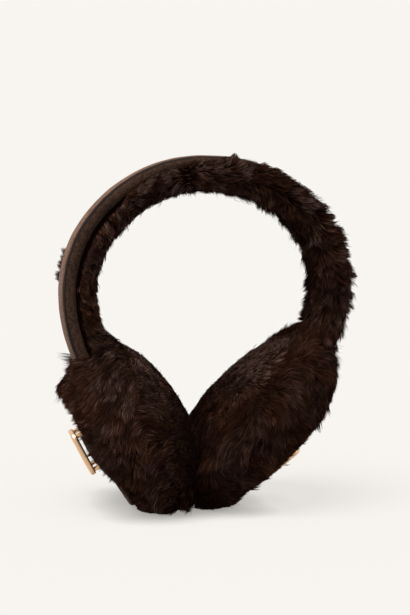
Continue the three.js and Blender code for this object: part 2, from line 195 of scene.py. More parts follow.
# ---------- The ear pads' fur ----------
# A thick soft puck of long-pile fur, hollow at the back. It is pressed flat on the ear side, on the
# floor and against the other pad, and its pile streams in locks from the ear face to the back.

SHIFT = np.array([3.3907, -0.9055, 0.0])  # from the arch's own middle to the middle of the part's box
# Where a pad stands and its tilt, then how it has settled. On the ear side it keeps the share face
# of its depth, its rim is longer by sag below and rise above, and its back swells by belly. Its upper
# part is fuller by ear_fill and face_fill, and drawn in at the back by back_fall and back_rise. slump
# is how far from the other pad the lower edge sinks. Then come the hair's fringe over the back, the
# painted shade in its fold, the painted highlight high on its ear face, its tone, darker on the right
# pad as painted shade, and the ornament's place on the back.
PADS = {
    "left": dict(side=-1, x=-38.4, z=36.8, tilt=58.5, face=1.07, sag=0.05, rise=-0.05, belly=-1.5,
                 ear_fill=6.0, face_fill=1.2, back_fall=0.8, back_rise=0.28, slump=16,
                 fringe=1.0, fold_shade=0.1, face_highlight=0.3, tone=-0.01, low=-3.5, out=0.0),
    "right": dict(side=1, x=19.7, z=43.8, tilt=-46.2, face=0.77, sag=0.27, rise=0.05, belly=2.2,
                  ear_fill=2.6, face_fill=2.6, back_fall=-0.6, back_rise=0.0, slump=36,
                  fringe=0.15, fold_shade=0.4, face_highlight=0.5, tone=-0.12, low=8.0, out=2.0),
}
PAD_SHELL = [  # the profile of the furred side, as radius and height from the back to the ear face
    (35.8, -20), (40.5, -18.4), (44, -13), (46, -5), (45.6, 4), (42.3, 11.5), (36, 17),
    (26, 21.2), (13, 23.6), (0, 24.2)]
PAD_RADIUS, HOLLOW_RADIUS = 46.0, 31.9
CONTACT_X, CONTACT_TURN, GAP = -8.6, 8, 0.3  # the plane where the pads meet, turned about Z
MINGLED = 1.2  # how far the hairs of one pad reach in among the other's
GOLDEN_ANGLE = math.pi * (3 - math.sqrt(5))
SKIN_DEPTH = 1.8  # how far the skin lies under the combed surface of the pile on the rim
FACE_DEPTH = 0.7  # and on the ear face, where the pile lies flat
HAIR_STEPS = np.array([0, 0.55, 1.0])  # shares of its length at which a hair has a point
STEP_COLUMN = HAIR_STEPS[:, None]
SKIN_ALONG, SKIN_TONE = 0.1, 0.4  # the skin is as dark as a hair near its root


def unit(v):
    return v / np.maximum(np.linalg.norm(v, axis=-1, keepdims=True), 1e-9)


def smoothstep(x, low, high):
    t = np.clip((x - low) / (high - low), 0, 1)
    return t * t * (3 - 2 * t)


def chance(i, salt):
    """A repeatable number from 0 to 1 for lock number i."""
    x = np.sin(i * 12.9898 + salt * 78.233) * 43758.5453
    return x - np.floor(x)


def turned(points, degrees):
    """Points turned about Y, from Z towards X."""
    c, s = math.cos(math.radians(degrees)), math.sin(math.radians(degrees))
    x, y, z = np.moveaxis(points, -1, 0)
    return np.stack([x * c + z * s, y, z * c - x * s], -1)


def corners_cut(points, rounds=3, closed=False):
    """A rounder line: each round replaces a corner by points a quarter along each side."""
    for _ in range(rounds):
        after = np.roll(points, -1, 0) if closed else points[1:]
        before = points if closed else points[:-1]
        pairs = np.stack([0.75 * before + 0.25 * after, 0.25 * before + 0.75 * after], 1)
        cut = pairs.reshape(-1, points.shape[1])
        points = cut if closed else np.concatenate([points[:1], cut[1:-1], points[-1:]])
    return points


def waves(points, size, seed):
    """A smooth random field, mostly from -1 to 1: six sines in random directions, with wavelengths
    near size."""
    rng = np.random.default_rng(seed)
    runs = unit(rng.normal(size=(6, 3))) * rng.uniform(0.7, 1.4, (6, 1)) * (2 * math.pi / size)
    return np.sin(points @ runs.T + rng.uniform(0, 2 * math.pi, 6)).sum(-1) / math.sqrt(6)


def settle(p, pad):
    """A pad's points once it has settled. x grows by a share of how far down or up the rim it lies.
    z shrinks on the ear side, or bellies out below on the back. On the upper part x is filled out
    on the ear side and drawn in at the back, and z likewise."""
    x, y, z = np.moveaxis(p, -1, 0)
    rim = smoothstep(np.hypot(x, y), HOLLOW_RADIUS, PAD_RADIUS)
    down = -pad["side"] * x / PAD_RADIUS * rim
    x = x * (1 + np.where(down > 0, pad["sag"] * down, -pad["rise"] * down))
    top, ear = smoothstep(-down, 0.2, 0.85), smoothstep(z, 0, 12)
    x = x + pad["side"] * top * (pad["ear_fill"] * ear - pad["back_fall"] * smoothstep(-z, 2, 10))
    back_z = z * (1 - pad["back_rise"] * top) - pad["belly"] * np.maximum(down, 0)
    z = np.where(z > 0, z * pad["face"], back_z)
    return np.stack([x, y, z + pad["face_fill"] * top * ear], -1)


def on_pad(p, pad):
    """Points of a pad's own frame, whose z runs from its back to the ear, in the part's frame."""
    return turned(p, pad["tilt"]) + np.array([pad["x"], 0, pad["z"]]) + SHIFT


def press(p, pad, spare=0.0):
    """Points pushed back to the upright plane where the pads meet, and up to the floor, with how far
    past the plane they were. Near the plane the lowest points sink to a fifth of their height."""
    a = math.radians(CONTACT_TURN)
    across = np.array([-pad["side"] * math.cos(a), pad["side"] * math.sin(a), 0])
    past = (p - SHIFT - np.array([CONTACT_X, 0, 0])) @ across + GAP / 2 + spare
    p = p - np.maximum(past, 0)[..., None] * across
    p[..., 2] *= 1 - 0.8 * smoothstep(past, -pad["slump"], -2) * smoothstep(9 - p[..., 2], 0, 6)
    p[..., 2] = np.maximum(p[..., 2], spare)
    return p, past


CORNER_HEIGHT, CORNER_DEPTH = 2.5, 12  # the corner between the floor and the other pad
HAIR_OFF_FLOOR = 0.15


def cramped(lines, pad):
    """Which hairs end in the corner between the floor and the other pad."""
    tips = lines[:, -1]
    return (tips[:, 2] < CORNER_HEIGHT) & (press(tips, pad)[1] > -CORNER_DEPTH)


def pressed_hairs(lines, pad):
    """Hairs pushed up to the floor, and pushed back a little past the plane where the pads meet."""
    lines, _ = press(lines, pad, -MINGLED)
    lines[..., 2] = np.maximum(lines[..., 2], HAIR_OFF_FLOOR)
    return lines


shell_line = corners_cut(np.array(PAD_SHELL, float))
shell_run = np.concatenate([[0], np.cumsum(np.hypot(*np.diff(shell_line, axis=0).T))])
shell_run /= shell_run[-1]
shell_area = np.concatenate([[0], np.cumsum(
    np.diff(shell_run) * (shell_line[1:, 0] + shell_line[:-1, 0]) / 2)])
shell_area /= shell_area[-1]


def rim_share(local_z):
    """0 on the ear face and 1 on the rim and back, from a point's height in its pad."""
    return smoothstep(20 - local_z, 0, 12)


def pile_depth(local_z):
    """How far the skin lies under the combed surface, from the ear face to the rim."""
    return FACE_DEPTH + (SKIN_DEPTH - FACE_DEPTH) * rim_share(local_z)


def pad_skin(pad, turn, run):
    """The furred side of a pad: its profile turned about its axis, then settled."""
    r, z = (np.interp(run, shell_run, shell_line[:, n]) for n in (0, 1))
    return on_pad(settle(np.stack([r * np.cos(turn), r * np.sin(turn), z], -1), pad), pad)


def skin_frame(place, u, v, step=4e-3):
    """Points of a surface place(u, v), with unit vectors along u, along v and off the surface."""
    along_u = unit(place(u + step, v) - place(u - step, v))
    along_v = unit(place(u, v + step) - place(u, v - step))
    return place(u, v), along_u, along_v, unit(np.cross(along_u, along_v))


def comb(root, along, out, length, lift, droop, stray):
    """Hairs as lines of points: root + length * (t along + (lift t - droop t^2) out). A stray hair is
    longer, and stands up more."""
    length, lift = length * (1 + 0.45 * stray), lift * (1 + 0.35 * stray)
    droop = droop * (1 - 0.7 * stray)
    t, (length, lift, droop) = STEP_COLUMN, (a[:, None, None] for a in (length, lift, droop))
    return root[:, None] + length * (t * along[:, None] + (lift * t - droop * t * t) * out[:, None])


def nearest(points, centres):
    """For each point, the number of the nearest centre, worked out in parts to spare memory."""
    points, centres = points.astype(np.float32), centres.astype(np.float32)
    return np.concatenate([np.argmin((centres ** 2).sum(1) - 2 * part @ centres.T, axis=1)
                           for part in np.array_split(points, 12)])


def clumped(lines, coat, rng):
    """Hairs gathered into small clumps and those into locks, with a shade for each lock. A hair is
    drawn towards the middle hair of its nearest clump, by a share that is 0 at the root."""
    for clumps, share in ((coat["clumps"], 0.5), (coat["big_clumps"], 0.38)):
        middles = lines[rng.permutation(len(lines))[:clumps]]
        clump = nearest(lines[:, 0], middles[:, 0])
        pull = (share * rng.uniform(0.6, 1.1, len(lines)))[:, None, None]
        lines = lines + pull * STEP_COLUMN ** 1.3 * (middles[clump] - lines)
        shade = rng.uniform(0, 1, clumps)[clump]
    return lines, shade


def tube(rings):
    """Vertices, quads and triangles of a body through closed rings, each end closed to a middle
    point. Faces run so that the body's volume is positive."""
    rows, count, _ = rings.shape
    vertices = np.concatenate([rings.reshape(-1, 3), [rings[0].mean(0)], [rings[-1].mean(0)]])
    j = np.arange(count)
    k = (j + 1) % count
    i = count * np.arange(rows - 1)[:, None]
    quads = np.stack([i + j, i + k, i + k + count, i + j + count], -1).reshape(-1, 4)
    last = (rows - 1) * count
    ends = np.concatenate([np.stack([np.full(count, last + count), k, j], -1),
                           np.stack([np.full(count, last + count + 1), last + j, last + k], -1)])
    a, b, c, d = (vertices[quads[:, n]] for n in range(4))
    volume = (np.cross(b - a, c - a) * a).sum() + (np.cross(c - a, d - a) * a).sum()
    if volume < 0:
        quads, ends = quads[:, ::-1], ends[:, ::-1]
    return vertices, quads, ends


def revolved(profile, count=96):
    """Rings of a profile of radius and height turned about Z."""
    turns = np.linspace(0, 2 * math.pi, count, endpoint=False)
    ring = np.stack([np.cos(turns), np.sin(turns)], -1)
    return np.concatenate([profile[:, None, :1] * ring, np.repeat(profile[:, None, 1:], count, 1)], -1)


def furred(name, lines, out, width, tone, rng, body=None):
    """One object of hairs, with the skin body under them if there is one. A hair is a flat ribbon
    of a quad and a triangle. It lies across its skin's outward direction, rolled a random way about
    its own line."""
    along = unit(np.gradient(lines, axis=1))
    side = unit(np.cross(along, out[:, None]))
    roll = rng.normal(0, 0.65, len(lines))[:, None, None]
    side = side * np.cos(roll) + np.cross(side, along) * np.sin(roll)
    aside = side[:, :2] * width[:, None, None] / 2
    vertices = np.concatenate([lines[:, :2] - aside, lines[:, :2] + aside, lines[:, 2:]], 1)
    vertices, first = vertices.reshape(-1, 3), 5 * np.arange(len(lines))[:, None]
    quads, triangles = first + [0, 2, 3, 1], first + [1, 3, 4]
    along, tones = np.tile(HAIR_STEPS[[0, 1, 0, 1, 2]], len(lines)), np.repeat(tone, 5)
    if body:
        skin, skin_quads, skin_triangles = body
        start = len(vertices)
        vertices = np.concatenate([vertices, skin])
        quads = np.concatenate([quads, skin_quads + start])
        triangles = np.concatenate([triangles, skin_triangles + start])
        along = np.concatenate([along, np.full(len(skin), SKIN_ALONG)])
        tones = np.concatenate([tones, np.full(len(skin), SKIN_TONE)])
    return finished(name, vertices, [quads, triangles], fur_material, hair_along=along,
                    hair_tone=tones)


# Fur: near black at the roots, partly painted shade deep in the pile, and brown at the tips, redder
# or greyer from patch to patch. The palest hairs carry a painted highlight of pale greyish brown.
fur_material, shading, surface = material("brown_fur")
coordinates = shading.node("TexCoord").outputs["Object"]
along = shading.node("Attribute", {"attribute_name": "hair_along"}).outputs["Fac"]
tone = shading.node("Attribute", {"attribute_name": "hair_tone"}).outputs["Fac"]
patches = shading.spread(shading.noise(coordinates, 55.0), 0.38, 0.66)
tip = shading.mix(patches, (0.0425, 0.0178, 0.0102), (0.0415, 0.0216, 0.0162))
shaded = shading.mix(0.8, tip, (0.005, 0.0014, 0.0006))
tip = shading.mix(shading.spread(tone, 0.1, 0.9), shaded, tip)
# Painted highlight: the palest hairs are mixed towards a light greyish brown along their outer part.
painted_highlight = shading.math("MULTIPLY", shading.spread(tone, 0.66, 0.95), shading.spread(along, 0.25, 0.9))
# The near-black roots are partly the fur's own colour and partly painted shade deep in the pile.
colour = shading.mix(shading.spread(along, 0.1, 0.9), (0.003, 0.0009, 0.0004), tip)
colour = shading.mix(shading.math("MULTIPLY", painted_highlight, 0.62), colour, (0.106, 0.073, 0.063))
shading.fill(surface, {"Base Color": colour, "Roughness": 0.6, "Specular IOR Level": 0.0,
                       "Sheen Weight": 0.04, "Sheen Roughness": 0.4, "Sheen Tint": (0.5, 0.3, 0.22)})

PAD_COAT = dict(count=59000, length=6.4, width=0.30, lift=0.60, droop=0.36,
                clumps=5200, big_clumps=900)
PAD_LONG = dict(PAD_COAT, count=55000, length=8.2, width=0.25, lift=0.62, droop=0.34)
SPARE_ROOTS = 1.45  # roots tried for each hair kept, as some lie where the pads meet
ORNAMENT_HEIGHT = 31  # the fringe is longest at this height above the floor
PAD_LOCKS = dict(count=70, length=15, width=11, lift=2.2, sink=2.4, droop=5.2, swirl=50, hairs=330)
PAD_LOCKS_FROM = -9  # no lock is rooted further back, so none hangs over the hollow
STANDING = 11  # and none lower than this, where the pads are pressed flat


def lock_swirl(pad, turn, local_z):
    """How far the locks turn aside, in radians: a sine of the place round the pad and its height."""
    return math.radians(PAD_LOCKS["swirl"]) * np.sin(2 * turn + local_z / 9 + pad["side"])


def pad_hairs(pad, count, seed):
    """Roots spread evenly over a pad's furred side on a golden-angle spiral: points, the way the
    pile lies, swirled on its way from the ear face to the back, the way off the skin, and heights
    in the pad."""
    i = np.arange(count)
    turn = (i * GOLDEN_ANGLE + seed) % (2 * math.pi)
    run = np.clip(np.interp((i + 0.5) / count, shell_area, shell_run), 0.01, 0.985)
    points, along_u, along_v, out = skin_frame(lambda u, v: pad_skin(pad, u, v), turn, run)
    local_z = np.interp(run, shell_run, shell_line[:, 1])
    swirl = lock_swirl(pad, turn, local_z)
    for size, share, salt in ((26, 0.5, 3), (11, 0.4, 5), (5, 0.25, 6)):
        swirl = swirl + share * waves(points, size, salt)
    along = -along_v * np.cos(swirl)[:, None] + along_u * np.sin(swirl)[:, None]
    keep = (press(points, pad)[1] < 1.5) & (points[:, 2] > -1.0)
    return points[keep], along[keep], out[keep], local_z[keep]


def pad_coat(pad, coat, seed):
    """The combed pile of one pad. It is short on the ear face, on the back and near the floor, and
    long and upright in strays and tufts. At the front a fringe is combed straight back over the
    piping. Painted shade darkens it towards the other pad and in a fold round the face, painted light
    makes it paler high on the ear face, and the right pad is darker overall with painted shade."""
    rng = np.random.default_rng(seed)
    roots = pad_hairs(pad, int(coat["count"] * SPARE_ROOTS), seed)
    chosen = np.sort(rng.permutation(len(roots[0]))[:coat["count"]])
    points, along, out, local_z = (values[chosen] for values in roots)
    n, rim = len(points), rim_share(local_z)
    points = points + rng.normal(0, 0.35, points.shape)
    height = points[:, 2]
    along = unit(along + rng.normal(0, 0.16, (n, 3)))
    back = smoothstep(-local_z, 4, 15)
    fringe = back * smoothstep(-points[:, 1], 4, 24) * smoothstep(height, 10, 30) * pad["fringe"]
    straight_back = turned(np.array([0, 0, -1.0]), pad["tilt"])
    along = unit(along + 1.8 * fringe[:, None] * straight_back)
    level = np.exp(-((height - ORNAMENT_HEIGHT) / 9) ** 2)
    length = coat["length"] * rng.uniform(0.7, 1.2, n) * (0.6 + 0.4 * rim)
    length = length * (1 - 0.45 * back + (0.15 + 0.4 * level) * fringe)
    length = length * (0.55 + 0.45 * smoothstep(height, 0, 8))
    lift = coat["lift"] * rng.uniform(0.7, 1.3, n) * (0.5 + 0.5 * rim)
    lift = lift * (1 - 0.3 * back - 0.25 * fringe)
    droop = coat["droop"] * rng.uniform(0.8, 1.2, n) * (0.6 + 0.4 * rim)
    stray = smoothstep(waves(points, 4.5, seed + 50), 1.0, 1.7) * rim * (1 - fringe)
    tufted = smoothstep(waves(points, 10, seed + 51), 0.4, 1.6) * rim * (1 - fringe)
    length, lift = length * (1 + 0.3 * tufted), lift * (1 + 0.5 * tufted)
    lines = comb(points - pile_depth(local_z)[:, None] * out, along, out, length, lift, droop, stray)
    lines, shade = clumped(lines, coat, rng)
    lines[:, :, 2] -= (0.05 * length[:, None]) * HAIR_STEPS ** 2
    # Painted shade: the hairs grow darker towards the plane where the pads meet.
    clear_of_crease_shade = smoothstep(-press(points, pad)[1], -1, 10)
    # Painted shade in the fold between the ear face and the rim.
    fold_shade = np.exp(-((local_z - 15) / 2.5) ** 2)
    # Each pad's tone shifts it as a whole; the right pad's lower tone is painted shade.
    tone = 0.5 * rng.uniform(0, 1, n) + 0.5 * shade + pad["tone"]
    # Painted highlight: the ear face is paler high up, where the light falls on it.
    tone = tone + pad["face_highlight"] * (1 - rim) * smoothstep(height, 50, 68) - pad["fold_shade"] * fold_shade
    tone = np.maximum(tone, 0) * (0.2 + 0.8 * clear_of_crease_shade)
    width = coat["width"] * rng.uniform(0.7, 1.3, n)
    return lines, out, width, tone, rng


def leaves(kind, root, along, out, degrees, **scales):
    """Leaf-shaped locks at their roots, turned with what they grow on, with the sizes of their kind
    times a scale for each lock."""
    sizes = {key: kind[key] * scales.get(key, 1) * np.ones(len(root))
             for key in ("length", "width", "lift", "sink", "droop")}
    return dict(root=root, along=turned(along, degrees), out=turned(out, degrees), **sizes)


def pad_locks(pad):
    """Roots and directions of a pad's locks, on a golden-angle spiral over its furred area. None
    grows where the band's end is seated or where the pad stands."""
    shell = np.array(PAD_SHELL, float)
    steps = np.hypot(*np.diff(shell, axis=0).T) * (shell[1:, 0] + shell[:-1, 0]) / 2
    ends = np.cumsum(steps)
    i = np.arange(PAD_LOCKS["count"])
    share = (i + 0.5) / PAD_LOCKS["count"] * ends[-1]
    step = np.searchsorted(ends, share)
    t = ((share - ends[step] + steps[step]) / steps[step])[:, None]
    r, z = ((1 - t) * shell[step] + t * shell[step + 1]).T
    turn = i * GOLDEN_ANGLE + pad["side"]
    c, s, upright = np.cos(turn), np.sin(turn), np.array([0, 0, 1])
    spoke, about = np.stack([c, s, 0 * c], -1), np.stack([-s, c, 0 * c], -1)
    fall = shell[step] - shell[step + 1]
    down = unit(spoke * fall[:, :1] + upright * fall[:, 1:])
    root = spoke * r[:, None] + upright * z[:, None]
    out = unit(np.cross(down, about))
    out = out * np.sign((out * root).sum(-1))[:, None]
    swirl = lock_swirl(pad, turn, z)
    along = down * np.cos(swirl)[:, None] + about * np.sin(swirl)[:, None]
    size = 0.75 + 0.5 * chance(i, pad["side"])
    rim = rim_share(z)
    placed_root = on_pad(settle(root, pad), pad)
    angle, dr, _ = from_arch(placed_root)
    px, py, pz = np.moveaxis(on_pad(root, pad) - SHIFT, -1, 0)
    seated = (pz > pad["z"] + 20) & (np.abs(py) < 25) & (pad["side"] * (px - pad["x"]) > 8)
    seated |= (np.abs(angle) > 100) & (dr > -26)
    keep = (z >= PAD_LOCKS_FROM) & (pz >= STANDING) & (rim > 0.4) & ~seated
    locks = leaves(PAD_LOCKS, placed_root, along, out, pad["tilt"], length=size, width=size,
                   lift=size * (0.35 + 0.65 * rim), droop=size * size * (0.3 + 0.7 * rim))
    return {key: values[keep] for key, values in locks.items()}


def lock_hairs(lock, hairs, width, rng):
    """Hairs that fill leaf-shaped locks: each starts under the lock's first half and runs to near its
    tip, and over the middle the leaf is a low ridge, highest on its own line."""
    n = len(lock["root"]) * hairs
    pick = np.repeat(np.arange(len(lock["root"])), hairs)
    root, along, out = (lock[key][pick][:, None] for key in ("root", "along", "out"))
    length, wide, lift, sink, droop = (
        lock[key][pick][:, None, None] for key in ("length", "width", "lift", "sink", "droop"))
    across = unit(np.cross(along, out))
    start = rng.uniform(-0.05, 0.5, (n, 1, 1))
    stop = rng.uniform(0.72, 1.04, (n, 1, 1))
    t = start + (stop - start) * STEP_COLUMN
    aside = np.clip(rng.normal(0, 0.24, (n, 1, 1)), -0.5, 0.5)
    layer = rng.uniform(0.2, 1, (n, 1, 1)) ** 0.5
    leaf = np.minimum(1, 0.6 + 0.8 * t) * np.clip(1.04 - t, 0, 1) ** 0.55 * 1.25
    crest = np.interp(t[..., 0], [-0.1, 0, 0.5, 1], [-1, -0.45, 0, 0])[..., None] * sink
    tip = np.clip(t - 0.5, 0, None) * 2
    height = crest + lift * np.clip(t * 2, 0, 1) * (1 - 0.45 * tip) - droop * tip ** 1.5
    height = height * layer - (1 - layer) * 1.2 - np.abs(aside) * 2.2 * (1 - tip)
    lines = root + along * t * length + across * (aside * leaf * wide) + out * height
    lines = lines - out * (SKIN_DEPTH * 0.9 * (1 - STEP_COLUMN) ** 2)
    tone = 0.6 * rng.uniform(0, 1, n) + 0.4 * rng.uniform(0, 1, len(lock["root"]))[pick]
    return lines, lock["out"][pick], width * rng.uniform(0.7, 1.3, n), tone


ARCH = dict(x=-1.7, z=95.5, lean=1, radius=72.5, pull_from=60, pull_in=(4.3, 8), end=121)
STUFFED = ((-121, -95, -60, -20, 0, 15, 35, 50, 65),  # angle, and how far the padding swells out
           (1.7, 1.3, 1.2, 0.7, 0, 0.6, 1.6, 1.0, 0))


def arch_radius(angle):
    """The arch's outer radius: less towards its two ends, more where the padding is full."""
    pull = smoothstep(np.abs(angle), ARCH["pull_from"], ARCH["end"])
    radius = ARCH["radius"] - pull * np.where(angle < 0, *ARCH["pull_in"])
    return radius + np.interp(angle, *STUFFED)


def on_arch(angle, dr, y):
    """Points dr outwards of the arch's outer face, at an angle in degrees from the top."""
    r, a = arch_radius(angle) + dr, np.radians(angle)
    p = np.stack([r * np.sin(a), y + 0 * r, r * np.cos(a)], -1)
    return turned(p, ARCH["lean"]) + np.array([ARCH["x"], 0, ARCH["z"]]) + SHIFT


def from_arch(p):
    """The angle, dr and y of points of the part's frame."""
    q = turned(p - SHIFT - np.array([ARCH["x"], 0, ARCH["z"]]), -ARCH["lean"])
    x, y, z = np.moveaxis(q, -1, 0)
    angle = np.degrees(np.arctan2(x, z))
    return angle, np.hypot(x, z) - arch_radius(angle), y


def under_band(p):
    """Whether points of the pads lie where the band's ends are seated."""
    angle, dr, y = from_arch(p)
    angle = np.abs(angle)
    return (angle < 128) & (angle > 90) & (dr > -12.5) & (dr < -1.2) & (np.abs(y) < 11.8)


def joined(some, more):
    """Lists of hair arrays, end to end."""
    return [np.concatenate(pair) for pair in zip(some, more)]


# The skin's outline runs from the hollow's middle round to the ear face. Its furred part is set in
# by the depth of the pile.
hollow = [(9, -13), (21, -13), (31, -13), (31.9, -13.4), (31.9, -15), (31.9, -17.8)]
way = unit(np.gradient(shell_line, axis=0))
inset = shell_line - pile_depth(shell_line[:, 1:]) * np.stack([way[:, 1], -way[:, 0]], -1)
inset[:, 0] = np.maximum(inset[:, 0], 0.4)
inset[0] = (33.4, -18.6)
skin_line = np.concatenate([hollow, inset])

for name, pad in PADS.items():
    skin, _ = press(on_pad(settle(revolved(skin_line), pad), pad), pad)
    lines, out, width, tone, rng = pad_coat(pad, PAD_COAT, 11 + pad["side"])
    open_to_air = ~under_band(lines[:, 0]) & ~cramped(lines, pad)
    lines = pressed_hairs(lines[open_to_air], pad)
    fur = furred(f"{name}_pad_coat", lines, out[open_to_air], width[open_to_air], tone[open_to_air],
                 rng, tube(skin))
    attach(fur, "root")
    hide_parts(f"{name}_pad_fur")

    *hairs, rng = pad_coat(pad, PAD_LONG, 21 + pad["side"])
    open_to_air = ~under_band(hairs[0][:, 0])
    locks = lock_hairs(pad_locks(pad), PAD_LOCKS["hairs"], PAD_LONG["width"], rng)
    lines, out, width, tone = joined([values[open_to_air] for values in hairs], locks)
    above = (press(lines[:, 1], pad)[1] < 3) & ~cramped(lines, pad)
    lines = pressed_hairs(lines[above], pad)
    long_fur = furred(f"{name}_pad_long_fur", lines, out[above], width[above], tone[above], rng)
    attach(long_fur, "root")
    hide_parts(f"{name}_pad_fur")


# ---------- Piping round the backs ----------
# A fabric-covered cord sewn in a ring where the fur meets the hard back. It is rolled by hand, so
# its thickness changes a little on the way round.

PIPING = dict(ring=29.4, section=2.1, z=-18.5)

# Brushed cotton as a node group: a colour between two tones, lighter where the nap is raised or
# rubbed and near black in the seams, which is painted shade in their grooves, and the height of its
# fibres.
brushed_nap = bpy.data.node_groups.new("brushed_nap", "ShaderNodeTree")
for side, socket, kind in (("INPUT", "Vector", "Vector"), ("INPUT", "Dark", "Color"),
                           ("INPUT", "Light", "Color"), ("OUTPUT", "Color", "Color"),
                           ("OUTPUT", "Height", "Float")):
    brushed_nap.interface.new_socket(socket, in_out=side, socket_type="NodeSocket" + kind)
shading = Shading(brushed_nap)
given = brushed_nap.nodes.new("NodeGroupInput").outputs
fibres = shading.math("MULTIPLY", shading.noise(given["Vector"], 1500.0, 3.0), 0.6)
knit = shading.math("MULTIPLY", shading.noise(given["Vector"], 600.0), 0.4)
rubbed = shading.math("MULTIPLY", shading.noise(given["Vector"], 90.0, 3.0), 0.25)
height = shading.math("ADD", fibres, knit)
share = shading.math("ADD", shading.math("MULTIPLY", height, 1.35), rubbed)
# Painted shade: the seams' grooves are darkened to near black.
seam = shading.node("Attribute", {"attribute_name": "seam"}).outputs["Fac"]
colour = shading.mix(shading.spread(share, 0.59, 1.01), given["Dark"], given["Light"])
shading.fill(brushed_nap.nodes.new("NodeGroupOutput"), {
    "Color": shading.mix(seam, colour, (0.002, 0.001, 0.0008)), "Height": height})


def brushed_cotton(name, dark, light):
    """A matt fabric with a raised nap, from its two tones."""
    made, shading, surface = material(name)
    cloth = shading.node("Group", {"node_tree": brushed_nap}, Dark=dark, Light=light,
                         Vector=shading.node("TexCoord").outputs["Object"])
    bump = shading.node("Bump", Strength=0.7, Distance=0.25 * MM, Height=cloth.outputs["Height"])
    shading.fill(surface, {"Base Color": cloth.outputs["Color"], "Normal": bump.outputs["Normal"],
                           "Roughness": 0.9, "Specular IOR Level": 0.1, "Sheen Weight": 0.08,
                           "Sheen Roughness": 0.5, "Sheen Tint": (0.8, 0.55, 0.42)})
    return made


def loop(rings):
    """Vertices and quads of a bar whose rings run round and close on themselves."""
    vertices, quads, _ = tube(np.concatenate([rings, rings[:1]]))
    whole = rings.shape[0] * rings.shape[1]
    return vertices[:whole], np.where(quads >= whole, quads - whole, quads)


piping_material = brushed_cotton("piping_cotton", (0.016, 0.0075, 0.0048), (0.040, 0.021, 0.014))
for name, pad in PADS.items():
    about, across = np.meshgrid(np.linspace(0, 2 * math.pi, 160, endpoint=False),
                                np.linspace(0, 2 * math.pi, 20, endpoint=False), indexing="ij")
    section = PIPING["section"] * (0.97 + 0.03 * np.sin(23 * about + 2 * np.sin(5 * about)))
    r = PIPING["ring"] + section * np.cos(across)
    z = PIPING["z"] + section * np.sin(across)
    vertices, quads = loop(on_pad(np.stack([r * np.cos(about), r * np.sin(about), z], -1), pad))
    piping = finished(f"{name}_pad_cord", vertices, [quads], piping_material)
    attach(piping, "root")
    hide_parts(f"{name}_pad_piping")


# ---------- The backs of the pads ----------
# A domed moulded shell closes the hollow of each pad, its edge inside the piping. It is covered in
# thin matt black-brown cloth with a fine grain, a little rubbed.

BACK = dict(radius=27, edge=3.4, dome=7.2, seat=-13.3)


def dome(r):
    """The outer surface of a back at a radius: highest in the middle, falling by r squared."""
    return BACK["seat"] - BACK["edge"] - BACK["dome"] * (1 - (r / BACK["radius"]) ** 2)


dome_radii = BACK["radius"] * np.sin(np.linspace(0.03, 1, 14) * math.pi / 2)
back_line = np.concatenate([np.stack([dome_radii, dome(dome_radii)], -1), [
    (26.95, -16.4), (26.8, -15.8), (26.5, -14.4), (26.0, BACK["seat"]), (14, BACK["seat"])]])

back_material, shading, surface = material("black_shell")
coordinates = shading.node("TexCoord").outputs["Object"]
grain = shading.node("TexVoronoi", {"feature": "SMOOTH_F1"}, Vector=coordinates, Scale=900.0)
worn = shading.noise(coordinates, 70.0, 4.0)
bump = shading.node("Bump", Strength=0.5, Distance=0.2 * MM, Height=grain.outputs["Distance"])
colour = shading.mix(shading.spread(worn, 0.4, 0.7), (0.0050, 0.0028, 0.0020), (0.0085, 0.0048, 0.0036))
roughness = shading.math("ADD", shading.math("MULTIPLY", worn, 0.25), 0.5)
shading.fill(surface, {"Base Color": colour, "Roughness": roughness, "Specular IOR Level": 0.05,
                       "Normal": bump.outputs["Normal"]})

for name, pad in PADS.items():
    vertices, quads, ends = tube(on_pad(revolved(back_line), pad))
    back = finished(f"{name}_pad_shell", vertices, [quads, ends], back_material)
    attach(back, "root")
    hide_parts(f"{name}_pad_back")


# ---------- The ornaments ----------
# A plain open frame of polished gold-coloured bar on each back, its edges eased, standing on four
# short posts.

FRAME = dict(length=22.5, width=19, bar=3.4, thick=2.4, corner=4, stand_off=1.4, post=1.1,
             post_inset=0.6)

gold_material, shading, surface = material("polished_gold")
coordinates = shading.node("TexCoord").outputs["Object"]
brushing = shading.noise(coordinates, 380.0, 4.0)
smears = shading.noise(coordinates, 60.0, 2.0)
bump = shading.node("Bump", Strength=0.12, Distance=0.1 * MM, Height=brushing)
colour = shading.mix(smears, (0.72, 0.44, 0.25), (0.80, 0.53, 0.33))
roughness = shading.math("ADD", shading.math("MULTIPLY", smears, 0.2), 0.24)
shading.fill(surface, {"Base Color": colour, "Metallic": 1.0, "Roughness": roughness,
                       "Normal": bump.outputs["Normal"]})


def rounded_path(length, width, corner, per_corner=9):
    """Points and outward directions round a rectangle with rounded corners, in x and y."""
    centres = np.array([(1, 1), (-1, 1), (-1, -1), (1, -1)]) * [length / 2 - corner, width / 2 - corner]
    angles = np.linspace(0, math.pi / 2, per_corner) + np.arange(4)[:, None] * math.pi / 2
    outward = np.stack([np.cos(angles), np.sin(angles)], -1)
    return (centres[:, None] + corner * outward).reshape(-1, 2), outward.reshape(-1, 2)


